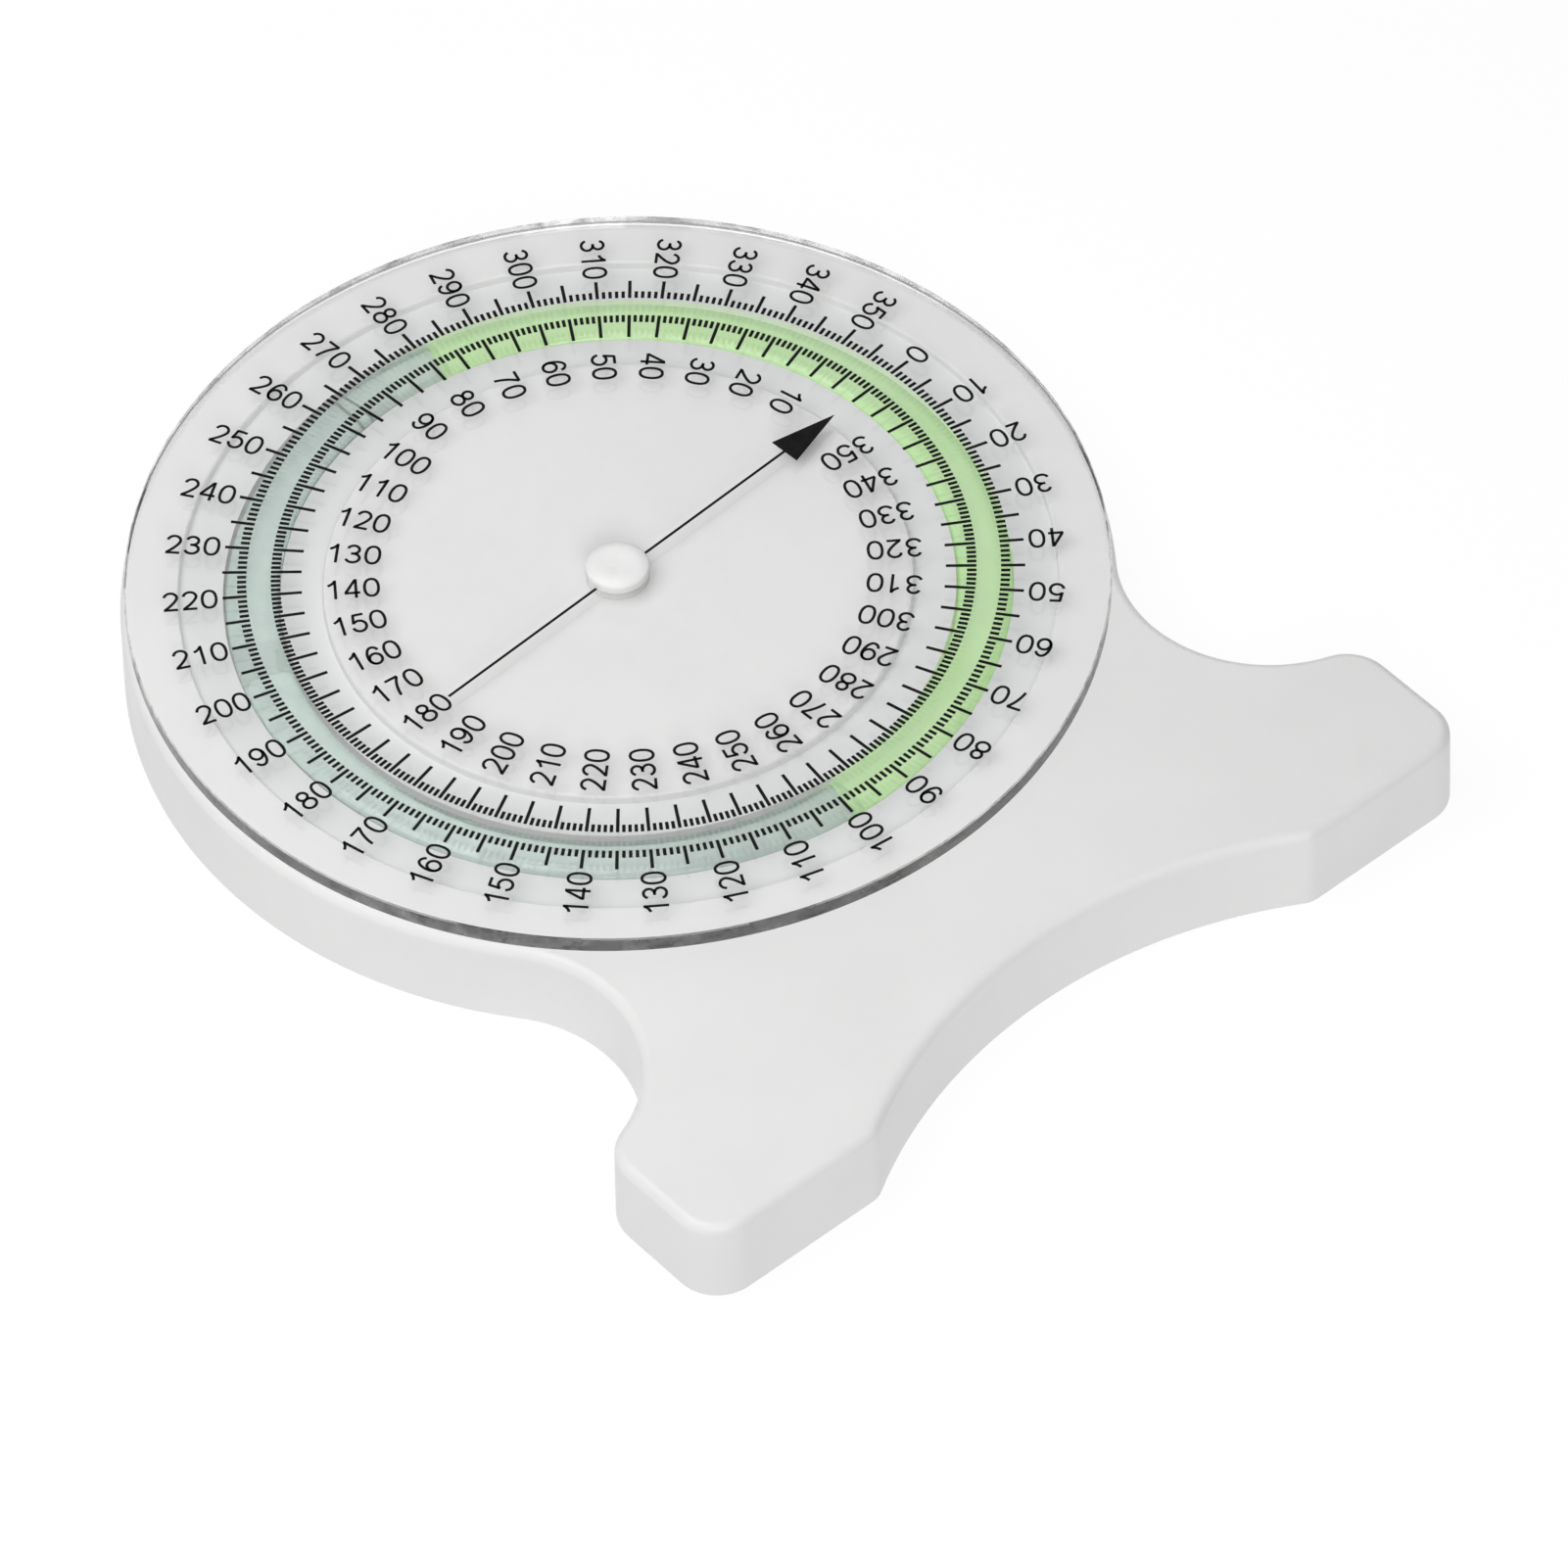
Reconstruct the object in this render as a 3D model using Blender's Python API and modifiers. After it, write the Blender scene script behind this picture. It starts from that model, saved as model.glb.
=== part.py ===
"""Bubble inclinometer: a moulded body with two feet, a clear dial that turns by hand, and a ring-shaped
vial half filled with green liquid.

It lies on its back: +Z comes out of the dial, +Y runs from the feet to the round head, and the origin is
the middle of its underside. Lengths are written in millimetres and scaled to metres as geometry is made.
"""

from math import asin, atan2, cos, degrees, pi, radians, sin, sqrt

import bmesh
import bpy
from mathutils import Matrix, Vector

MM = 0.001
TINY = 0.00001  # metres
FLAT_ANGLE = 0.2  # degrees between faces that count as one

# Body outline, seen from above, with the dial's axis as its centre.
HEAD_R = 54.65
FOOT_REACH = 77.95  # from the dial's axis to the ends of the feet
FOOT_HALF_WIDTH = 53.9
FLANK_R = 16.5  # the hollow between the head and a foot
FLANK_ANGLE = -38.0  # direction of the flank's centre from the dial's axis
ARCH_R = 58.45  # the arch between the feet
ARCH_APEX = 69.15  # from the dial's axis to the top of the arch
SHOULDER_CORNER_R = 5.5
TOE_CORNER_R = 5.0
INNER_CORNER_R = 3.0
DIAL_Y = (FOOT_REACH - HEAD_R) / 2  # puts the origin in the middle of the body's box

# Heights above the underside.
BODY_TOP = 10.7
FRONT_WALL = 2.2
SIDE_WALL = 2.2
TOP_EDGE_R = 1.2
COVER_T = 2.0
GAP = 0.3  # between pieces that rest on each other or sit in each other
THIN_GAP = 0.2

# Groove for the vial.
GROOVE_INNER_R = 32.2
GROOVE_OUTER_R = 47.8
GROOVE_WALL = 1.6
GROOVE_FLOOR_Z = COVER_T + GAP + GROOVE_WALL

# Dial and its pivot.
DISC_R = 53.3
DISC_T = 2.0
DISC_Z = BODY_TOP + GAP
STEM_R = 2.0
CAP_R = 3.45
CAP_RIM_H = 0.45
CAP_H = 1.25
BUSH_R = 3.2
FRICTION_WASHER_R = 3.4
FRICTION_WASHER_T = 0.6
WASHER_PROUD = 0.05  # how far the friction washer stands out of the body
COUNTERBORE_Z = BODY_TOP - FRICTION_WASHER_T - THIN_GAP
WASHER_R = 4.4
WASHER_T = 0.5
WAVE_T = 0.25
WAVE_COUNT = 3
PIVOT_BOSS_R = 6.5
PIVOT_SCREW_R = 0.9
PIVOT_SCREW_LENGTH = 5.2  # below its head
PIVOT_HEAD_R = 2.4
PIVOT_HEAD_H = 1.3
PIVOT_CHAMFER = 0.4
PIVOT_SLOT = (2.6, 0.6)
PIVOT_SLOT_DEPTH = 0.7
PILOT_SPARE = 0.7  # room in the stem past the screw's tip

# Vial.
VIAL_RING_R = 40.0
TUBE_R = 2.75
BORE_R = 2.0
TUBE_Z = DISC_Z - THIN_GAP - TUBE_R
TUBE_SEAM_ANGLE = 96.0
SEAL_T = 0.8
LIQUID_R = BORE_R - GAP
LIQUID_START = -92.0
LIQUID_END = 79.0
PAD_COUNT = 6
PAD_SIZE = (4.0, 3.0)  # along the ring, across it

# Back cover and its screws.
SCREW_R = 1.1
SCREW_HEAD_R = 2.1
SCREW_HEAD_H = 1.1
SCREW_LENGTH = 6.5
SCREW_POINT_R = 0.55
SCREW_POINT_H = 1.0
SCREW_SLOT = (2.2, 0.5)
SCREW_SLOT_DEPTH = 0.6
SCREW_BOSS_R = 3.0
HEAD_SCREW_RING_R = 25.0
HEAD_SCREW_ANGLES = (45, 135, 225, 315)
TOE_SCREW = (43.5, -68.5)  # from the dial's axis
RIB_T = 1.2
RIB_BOTTOM_Z = 5.6
RIB_BITE = 0.75  # how far each end of a rib runs into what it joins

CUT_MARGIN = 1.0  # how far a cutter runs past what it cuts

# Degrees between the points of the outline's arcs.
HEAD_STEP = 3.75
FLANK_STEP = 9.0
CORNER_STEP = 22.5
ARCH_STEP = 4.0

# Sides of the round shapes.
EDGE_SEGMENTS = 2
GROOVE_SEGMENTS = 72
DISC_SEGMENTS = 96
CAP_SEGMENTS = 32
CAP_RINGS = 4
BOSS_SEGMENTS = 36
PIVOT_SEGMENTS = 24
SMALL_SEGMENTS = 20
HOLE_SEGMENTS = 16
RING_STEPS = 64
TUBE_SIDES = 12
BORE_SIDES = 8
LIQUID_ROUNDNESS = 2


def clear_scene():
    for obj in list(bpy.data.objects):
        bpy.data.objects.remove(obj, do_unlink=True)
    for mesh in list(bpy.data.meshes):
        bpy.data.meshes.remove(mesh)


def new_collection(name):
    collection = bpy.data.collections.new(name)
    bpy.context.scene.collection.children.link(collection)
    return collection


clear_scene()
PARTS = new_collection("bubble_inclinometer")
CUTTERS = new_collection("cutters")


def material(name, colour, roughness, metallic=0.0, transmission=0.0):
    mat = bpy.data.materials.new(name)
    mat.use_nodes = True
    shader = mat.node_tree.nodes["Principled BSDF"]
    shader.inputs["Base Color"].default_value = (*colour, 1.0)
    shader.inputs["Roughness"].default_value = roughness
    shader.inputs["Metallic"].default_value = metallic
    shader.inputs["Transmission Weight"].default_value = transmission
    mat.diffuse_color = (*colour, 1.0)
    return mat


def smooth(mesh):
    mesh.shade_smooth()
    mesh.set_sharp_from_angle(angle=radians(30))


def new_object(name, mesh, collection):
    obj = bpy.data.objects.new(name, mesh)
    collection.objects.link(obj)
    return obj


def as_part(obj, mat):
    """Moves a finished object into the model and gives it its material."""
    for collection in list(obj.users_collection):
        collection.objects.unlink(obj)
    PARTS.objects.link(obj)
    obj.data.materials.clear()
    obj.data.materials.append(mat)
    smooth(obj.data)
    return obj


def as_cutter(obj):
    obj.display_type = "WIRE"
    obj.hide_render = True
    return obj


def boolean(target, other, operation):
    modifier = target.modifiers.new(f"{operation.lower()} {other.name}", "BOOLEAN")
    modifier.operation = operation
    modifier.solver = "EXACT"
    modifier.object = as_cutter(other)


def cut(target, other):
    boolean(target, other, "DIFFERENCE")


def join(target, other):
    boolean(target, other, "UNION")


# Shapes

def arc(centre, radius, start, end, step):
    """Points along an arc, its two ends included; angles in degrees."""
    count = max(1, round(abs(end - start) / step))
    angles = [radians(start + (end - start) * i / count) for i in range(count + 1)]
    return [(centre[0] + radius * cos(a), centre[1] + radius * sin(a)) for a in angles]


def direction(start, end):
    return degrees(atan2(end[1] - start[1], end[0] - start[0]))


def body_outline(inset=0.0):
    """The body's outline as tangent arcs and straight sides, moved inwards by inset, dial axis at 0, 0."""
    toe_y = -FOOT_REACH
    flank_distance = HEAD_R + FLANK_R
    flank = (
        flank_distance * cos(radians(FLANK_ANGLE)),
        flank_distance * sin(radians(FLANK_ANGLE)),
    )
    shoulder_x = FOOT_HALF_WIDTH - SHOULDER_CORNER_R
    shoulder_drop = sqrt((FLANK_R + SHOULDER_CORNER_R) ** 2 - (shoulder_x - flank[0]) ** 2)
    shoulder = (shoulder_x, flank[1] - shoulder_drop)
    toe = (FOOT_HALF_WIDTH - TOE_CORNER_R, toe_y + TOE_CORNER_R)
    arch = (0.0, -ARCH_APEX - ARCH_R)
    inner_y = toe_y + INNER_CORNER_R
    inner = (sqrt((ARCH_R + INNER_CORNER_R) ** 2 - (inner_y - arch[1]) ** 2), inner_y)
    to_shoulder = direction(flank, shoulder) + 360
    to_inner = direction(arch, inner)
    half = arc((0, 0), HEAD_R - inset, 90, 0, HEAD_STEP)
    half += arc((0, 0), HEAD_R - inset, 0, FLANK_ANGLE, HEAD_STEP)[1:]
    half += arc(flank, FLANK_R + inset, FLANK_ANGLE + 180, to_shoulder, FLANK_STEP)[1:]
    half += arc(shoulder, SHOULDER_CORNER_R - inset, to_shoulder - 180, 0, CORNER_STEP)[1:]
    half += arc(toe, TOE_CORNER_R - inset, 0, -90, CORNER_STEP)
    half += arc(inner, INNER_CORNER_R - inset, -90, to_inner - 180, CORNER_STEP)
    half += arc(arch, ARCH_R + inset, to_inner, 90, ARCH_STEP)[1:]
    return half + [(-x, y) for x, y in reversed(half[1:-1])]


def final_mesh(obj):
    """The mesh that an object's curve or modifiers come to."""
    bpy.context.view_layer.update()
    graph = bpy.context.evaluated_depsgraph_get()
    return bpy.data.meshes.new_from_object(obj.evaluated_get(graph))


def solid_from_curve(guide):
    """Turns a curve into a closed mesh: joins its caps and makes each flat face one face."""
    name = guide.name
    mesh = final_mesh(guide)
    matrix = guide.matrix_world.copy()
    bpy.data.objects.remove(guide)
    bm = bmesh.new()
    bm.from_mesh(mesh)
    bmesh.ops.remove_doubles(bm, verts=bm.verts, dist=TINY / 10)
    bmesh.ops.dissolve_limit(bm, angle_limit=radians(FLAT_ANGLE), verts=bm.verts, edges=bm.edges)
    bmesh.ops.recalc_face_normals(bm, faces=bm.faces)
    bm.to_mesh(mesh)
    bm.free()
    obj = new_object(name, mesh, CUTTERS)
    obj.matrix_world = matrix
    return obj


def prism(name, outline, bottom, top):
    """A flat outline about the dial's axis, extruded between two heights."""
    curve = bpy.data.curves.new(name, "CURVE")
    curve.dimensions = "2D"
    curve.fill_mode = "BOTH"
    curve.extrude = (top - bottom) / 2 * MM
    spline = curve.splines.new("POLY")
    spline.points.add(len(outline) - 1)
    for point, (x, y) in zip(spline.points, outline):
        point.co = (x * MM, y * MM, 0, 1)
    spline.use_cyclic_u = True
    guide = new_object(name, curve, CUTTERS)
    guide.location = (0, DIAL_Y * MM, (top + bottom) / 2 * MM)
    return solid_from_curve(guide)


def turned(name, profile, segments, closed=False, at=(0.0, 0.0)):
    """A profile of (radius, height) turned about an upright axis at a place beside the dial's axis."""
    mesh = bpy.data.meshes.new(name)
    edges = [(i, i + 1) for i in range(len(profile) - 1)]
    if closed:
        edges.append((len(profile) - 1, 0))
    mesh.from_pydata([(r * MM, 0, z * MM) for r, z in profile], edges, [])
    obj = new_object(name, mesh, CUTTERS)
    obj.location = (at[0] * MM, (DIAL_Y + at[1]) * MM, 0)
    screw = obj.modifiers.new("turn", "SCREW")
    screw.steps = segments
    screw.render_steps = segments
    screw.use_merge_vertices = True
    screw.merge_threshold = TINY
    screw.use_smooth_shade = True
    return obj


def ring_profile(inner, outer, bottom, top):
    """A rectangle for turned(closed=True): down the outer side, up the inner one."""
    return [(outer, top), (outer, bottom), (inner, bottom), (inner, top)]


def rod_profile(radius, bottom, top):
    return [(0, top), (radius, top), (radius, bottom), (0, bottom)]


def rod(name, radius, bottom, top, segments, at=(0.0, 0.0)):
    return turned(name, rod_profile(radius, bottom, top), segments, at=at)


def box(name, size, centre, turn=0.0):
    """A box about the dial's axis: its centre is turned with it, by an angle in degrees."""
    mesh = bpy.data.meshes.new(name)
    bm = bmesh.new()
    bmesh.ops.create_cube(bm, size=1.0, matrix=Matrix.Diagonal((*[s * MM for s in size], 1.0)))
    bm.to_mesh(mesh)
    bm.free()
    obj = new_object(name, mesh, CUTTERS)
    spin = Matrix.Rotation(radians(turn), 4, "Z")
    axis = Matrix.Translation((0, DIAL_Y * MM, 0))
    obj.matrix_world = axis @ spin @ Matrix.Translation(Vector(centre) * MM)
    return obj


def torus(name, radius, sides):
    """A ring of round section about the dial's axis, at the height of the vial."""
    bpy.ops.mesh.primitive_torus_add(
        major_radius=VIAL_RING_R * MM,
        minor_radius=radius * MM,
        major_segments=RING_STEPS,
        minor_segments=sides,
        location=(0, DIAL_Y * MM, TUBE_Z * MM),
    )
    obj = bpy.context.object
    obj.name = name
    for collection in list(obj.users_collection):
        collection.objects.unlink(obj)
    CUTTERS.objects.link(obj)
    return obj


def on_ring(radius, angle):
    return (radius * cos(radians(angle)), radius * sin(radians(angle)))


def cut_cross(screw, size, head, depth):
    """Cuts a cross recess up into a screw head whose outer face is at a height."""
    for turn in (0, 90):
        slot = box(f"{screw.name}_slot_{turn}", (*size, 2 * depth), (0, 0, head), turn)
        cut(screw, slot)


def screw_places():
    toes = [(side * TOE_SCREW[0], TOE_SCREW[1]) for side in (-1, 1)]
    return toes + [on_ring(HEAD_SCREW_RING_R, a) for a in HEAD_SCREW_ANGLES]


# Body

def round_top_edge(obj, radius, top):
    """Weights the edges around the top face and bevels them, so the bottom rim stays square."""
    mesh = obj.data
    height = top * MM - obj.location.z
    weights = mesh.attributes.new("bevel_weight_edge", "FLOAT", "EDGE")
    for edge in mesh.edges:
        on_top = all(abs(mesh.vertices[v].co.z - height) < TINY for v in edge.vertices)
        weights.data[edge.index].value = 1.0 if on_top else 0.0
    bevel = obj.modifiers.new("top edge", "BEVEL")
    bevel.limit_method = "WEIGHT"
    bevel.width = radius * MM
    bevel.segments = EDGE_SEGMENTS
    bevel.use_clamp_overlap = False


def base_housing(mat):
    """A hollow moulding, open at the back, with the groove, the pivot boss and the screw bosses in it."""
    body = prism("base_housing", body_outline(), 0, BODY_TOP)
    round_top_edge(body, TOP_EDGE_R, BODY_TOP)
    ceiling = BODY_TOP - FRONT_WALL
    into_ceiling = ceiling + FRONT_WALL / 2
    cut(body, prism("hollow", body_outline(SIDE_WALL), -CUT_MARGIN, ceiling))
    trough = ring_profile(
        GROOVE_INNER_R - GROOVE_WALL,
        GROOVE_OUTER_R + GROOVE_WALL,
        GROOVE_FLOOR_Z - GROOVE_WALL,
        into_ceiling,
    )
    join(body, turned("trough", trough, GROOVE_SEGMENTS, closed=True))
    boss_bottom = pivot_heights()["boss_bottom"]
    join(body, rod("pivot_boss", PIVOT_BOSS_R, boss_bottom, into_ceiling, BOSS_SEGMENTS))
    trough_inner_r = GROOVE_INNER_R - GROOVE_WALL
    rib_length = trough_inner_r - PIVOT_BOSS_R + 2 * RIB_BITE
    rib_middle = (trough_inner_r + PIVOT_BOSS_R) / 2
    rib_height = into_ceiling - RIB_BOTTOM_Z
    for angle in HEAD_SCREW_ANGLES:
        size = (rib_length, RIB_T, rib_height)
        centre = (rib_middle, 0, RIB_BOTTOM_Z + rib_height / 2)
        join(body, box(f"rib_{angle}", size, centre, angle))
    for number, place in enumerate(screw_places(), 1):
        name = f"screw_boss_{number}"
        join(body, rod(name, SCREW_BOSS_R, COVER_T + GAP, into_ceiling, SMALL_SEGMENTS, place))
    above = BODY_TOP + CUT_MARGIN
    groove = ring_profile(GROOVE_INNER_R, GROOVE_OUTER_R, GROOVE_FLOOR_Z, above)
    cut(body, turned("groove", groove, GROOVE_SEGMENTS, closed=True))
    counterbore_r = FRICTION_WASHER_R + GAP
    bore_r = BUSH_R + GAP
    bore = [
        (0, above),
        (counterbore_r, above),
        (counterbore_r, COUNTERBORE_Z),
        (bore_r, COUNTERBORE_Z),
        (bore_r, boss_bottom - CUT_MARGIN),
        (0, boss_bottom - CUT_MARGIN),
    ]
    cut(body, turned("pivot_bore", bore, BOSS_SEGMENTS))
    for number, place in enumerate(screw_places(), 1):
        name = f"screw_hole_{number}"
        cut(body, rod(name, SCREW_R + GAP, COVER_T, ceiling - GAP, HOLE_SEGMENTS, place))
    return as_part(body, mat)


def back_cover(mat):
    """A plate inside the body's rim, with a countersunk hole for each screw."""
    plate = prism("back_cover", body_outline(SIDE_WALL + GAP), 0, COVER_T)
    head_r = SCREW_HEAD_R + GAP
    shank_r = SCREW_R + GAP
    profile = [
        (0, COVER_T + CUT_MARGIN),
        (shank_r, COVER_T + CUT_MARGIN),
        (shank_r, SCREW_HEAD_H + GAP),
        (head_r, THIN_GAP),
        (head_r, -CUT_MARGIN),
        (0, -CUT_MARGIN),
    ]
    for number, place in enumerate(screw_places(), 1):
        cut(plate, turned(f"countersink_{number}", profile, SMALL_SEGMENTS, at=place))
    return as_part(plate, mat)


def cover_screws(mat):
    """Six countersunk screws that share one mesh, heads down, each with a cross recess."""
    pattern = turned(
        "screw_pattern",
        [
            (0, SCREW_LENGTH),
            (SCREW_POINT_R, SCREW_LENGTH),
            (SCREW_R, SCREW_LENGTH - SCREW_POINT_H),
            (SCREW_R, SCREW_HEAD_H),
            (SCREW_HEAD_R, THIN_GAP),
            (0, THIN_GAP),
        ],
        HOLE_SEGMENTS,
    )
    cut_cross(pattern, SCREW_SLOT, THIN_GAP, SCREW_SLOT_DEPTH)
    mesh = final_mesh(pattern)
    mesh.name = "cover_screw"
    bpy.data.objects.remove(pattern)
    mesh.materials.clear()
    mesh.materials.append(mat)
    smooth(mesh)
    for number, (x, y) in enumerate(screw_places(), 1):
        screw = new_object(f"cover_screw_{number}", mesh, PARTS)
        screw.location = (x * MM, (DIAL_Y + y) * MM, 0)


# Pivot, from the cover up

def pivot_heights():
    """The heights of the stack on the stem, each piece a small gap above the one below."""
    head_bottom = COVER_T + GAP
    flat_bottom = head_bottom + PIVOT_HEAD_H + THIN_GAP
    wave_bottom = flat_bottom + WASHER_T + THIN_GAP
    return {
        "head_bottom": head_bottom,
        "flat_bottom": flat_bottom,
        "wave_bottom": wave_bottom,
        "boss_bottom": wave_bottom + WASHER_T + THIN_GAP,
    }


def pivot_bush(mat):
    bottom = pivot_heights()["boss_bottom"]
    profile = ring_profile(STEM_R + GAP, BUSH_R, bottom, COUNTERBORE_Z - GAP)
    return as_part(turned("pivot_bush", profile, PIVOT_SEGMENTS, closed=True), mat)


def friction_washer(mat):
    """A washer in the counterbore that stands a little proud, so the dial turns on it."""
    bottom = BODY_TOP - FRICTION_WASHER_T
    profile = ring_profile(STEM_R + GAP, FRICTION_WASHER_R, bottom, BODY_TOP + WASHER_PROUD)
    return as_part(turned("friction_washer", profile, PIVOT_SEGMENTS, closed=True), mat)


def flat_washer(mat):
    bottom = pivot_heights()["flat_bottom"]
    profile = ring_profile(PIVOT_SCREW_R + GAP, WASHER_R, bottom, bottom + WASHER_T)
    return as_part(turned("flat_washer", profile, PIVOT_SEGMENTS, closed=True), mat)


def wave_washer(mat):
    """A ring bent into waves, so it springs between the boss and the flat washer."""
    bottom = pivot_heights()["wave_bottom"]
    swing = (WASHER_T - WAVE_T) / 2
    profile = ring_profile(STEM_R + GAP, WASHER_R, 0, WAVE_T)
    ring = turned("wave_washer", profile, BOSS_SEGMENTS, closed=True)
    mesh = final_mesh(ring)
    for vertex in mesh.vertices:
        angle = atan2(vertex.co.y, vertex.co.x)
        vertex.co.z += (bottom + swing * (1 + sin(WAVE_COUNT * angle))) * MM
    ring.modifiers.clear()
    ring.data = mesh
    return as_part(ring, mat)


def pivot_screw(mat):
    bottom = pivot_heights()["head_bottom"]
    head_top = bottom + PIVOT_HEAD_H
    tip = head_top + PIVOT_SCREW_LENGTH
    profile = [
        (0, tip),
        (PIVOT_SCREW_R, tip),
        (PIVOT_SCREW_R, head_top),
        (PIVOT_HEAD_R, head_top),
        (PIVOT_HEAD_R, bottom + PIVOT_CHAMFER),
        (PIVOT_HEAD_R - PIVOT_CHAMFER, bottom),
        (0, bottom),
    ]
    screw = turned("pivot_screw", profile, PIVOT_SEGMENTS)
    cut_cross(screw, PIVOT_SLOT, bottom, PIVOT_SLOT_DEPTH)
    return as_part(screw, mat)


def hub_cap(mat):
    """A low dome on the dial with a stem through the body; the pivot screw goes up the stem."""
    under = DISC_Z + DISC_T + THIN_GAP
    top = under + CAP_H
    rise = CAP_H - CAP_RIM_H
    dome_r = (CAP_R**2 + rise**2) / (2 * rise)
    dome_angle = degrees(asin(CAP_R / dome_r))
    dome = arc((0, top - dome_r), dome_r, 90, 90 - dome_angle, dome_angle / CAP_RINGS)
    heights = pivot_heights()
    stem_end = heights["wave_bottom"]
    screw_tip = heights["head_bottom"] + PIVOT_HEAD_H + PIVOT_SCREW_LENGTH
    pilot_r = PIVOT_SCREW_R + GAP
    pilot_top = screw_tip + PILOT_SPARE
    profile = [(0.0, top), *dome[1:]]
    profile += [(CAP_R, under), (STEM_R, under), (STEM_R, stem_end)]
    profile += [(pilot_r, stem_end), (pilot_r, pilot_top), (0, pilot_top)]
    return as_part(turned("hub_cap", profile, CAP_SEGMENTS), mat)


def dial_disc(mat):
    profile = ring_profile(STEM_R + GAP, DISC_R, DISC_Z, DISC_Z + DISC_T)
    return as_part(turned("dial_disc", profile, DISC_SEGMENTS, closed=True), mat)


# Vial

def seam_gap():
    return SEAL_T + 2 * GAP


def vial_tube(mat):
    """A clear tube bent into a ring whose two ends stop short of each other at the seam."""
    tube = torus("vial_tube", TUBE_R, TUBE_SIDES)
    cut(tube, torus("vial_bore", BORE_R, BORE_SIDES))
    size = (3 * TUBE_R, seam_gap(), 3 * TUBE_R)
    cut(tube, box("vial_seam", size, (VIAL_RING_R, 0, TUBE_Z), TUBE_SEAM_ANGLE))
    return as_part(tube, mat)


def vial_joint_seal(mat):
    """The ring of cement between the two ends of the tube, open like the tube's bore."""
    profile = ring_profile(BORE_R, TUBE_R, -SEAL_T / 2, SEAL_T / 2)
    seal = turned("vial_joint_seal", profile, SMALL_SEGMENTS, closed=True)
    x, y = on_ring(VIAL_RING_R, TUBE_SEAM_ANGLE)
    place = Matrix.Translation((x * MM, (DIAL_Y + y) * MM, TUBE_Z * MM))
    along_ring = Matrix.Rotation(radians(TUBE_SEAM_ANGLE), 4, "Z") @ Matrix.Rotation(pi / 2, 4, "X")
    seal.matrix_world = place @ along_ring
    return as_part(seal, mat)


def vial_liquid(mat):
    """The arc of liquid in the bore; it runs round the ring, so its origin is on the dial's axis."""
    curve = bpy.data.curves.new("vial_liquid", "CURVE")
    curve.dimensions = "3D"
    curve.bevel_depth = LIQUID_R * MM
    curve.bevel_resolution = LIQUID_ROUNDNESS
    curve.use_fill_caps = True
    path = arc((0, 0), VIAL_RING_R, LIQUID_START, LIQUID_END, 360 / RING_STEPS)
    spline = curve.splines.new("POLY")
    spline.points.add(len(path) - 1)
    for point, (x, y) in zip(spline.points, path):
        point.co = (x * MM, y * MM, 0, 1)
    guide = new_object("vial_liquid", curve, CUTTERS)
    guide.location = (0, DIAL_Y * MM, TUBE_Z * MM)
    return as_part(solid_from_curve(guide), mat)


def vial_pads(mat):
    """Foam pads between the groove's floor and the tube, evenly round the ring."""
    bottom = GROOVE_FLOOR_Z + THIN_GAP
    top = TUBE_Z - TUBE_R - THIN_GAP
    size = (PAD_SIZE[1], PAD_SIZE[0], top - bottom)
    for number in range(PAD_COUNT):
        angle = 360 / PAD_COUNT * (number + 0.5)
        centre = (VIAL_RING_R, 0, (top + bottom) / 2)
        as_part(box(f"vial_pad_{number + 1}", size, centre, angle), mat)


def build():
    white_abs = material("white_abs", (0.80, 0.80, 0.79), 0.42)
    cover_abs = material("cover_abs", (0.76, 0.76, 0.75), 0.48)
    clear_acrylic = material("clear_acrylic", (0.90, 0.92, 0.92), 0.05, transmission=0.9)
    cap_white = material("cap_white", (0.84, 0.84, 0.83), 0.32)
    clear_tube = material("clear_tube", (0.80, 0.88, 0.88), 0.06, transmission=0.9)
    clear_cement = material("clear_cement", (0.78, 0.84, 0.84), 0.15, transmission=0.7)
    green_liquid = material("green_liquid", (0.36, 0.72, 0.20), 0.08, transmission=0.3)
    white_foam = material("white_foam", (0.78, 0.78, 0.76), 0.90)
    brass = material("brass", (0.72, 0.55, 0.28), 0.30, metallic=1.0)
    nylon = material("nylon", (0.75, 0.73, 0.68), 0.50)
    zinc_steel = material("zinc_steel", (0.62, 0.63, 0.65), 0.32, metallic=1.0)
    spring_steel = material("spring_steel", (0.45, 0.46, 0.48), 0.28, metallic=1.0)
    base_housing(white_abs)
    back_cover(cover_abs)
    cover_screws(zinc_steel)
    vial_tube(clear_tube)
    vial_joint_seal(clear_cement)
    vial_pads(white_foam)
    vial_liquid(green_liquid)
    pivot_bush(brass)
    friction_washer(nylon)
    wave_washer(spring_steel)
    flat_washer(zinc_steel)
    pivot_screw(zinc_steel)
    hub_cap(cap_white)
    dial_disc(clear_acrylic)


build()
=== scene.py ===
"""Looks of the bubble inclinometer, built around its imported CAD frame.

Lengths are in millimetres and become metres as meshes are made. Heights count from the underside, and
plan positions from the dial's axis. Angles are in degrees, counter-clockwise from +X.
"""

from math import atan2, copysign, cos, degrees, hypot, pi, radians, sin, sqrt

import bmesh
import bpy
from mathutils import Matrix, Vector

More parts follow.
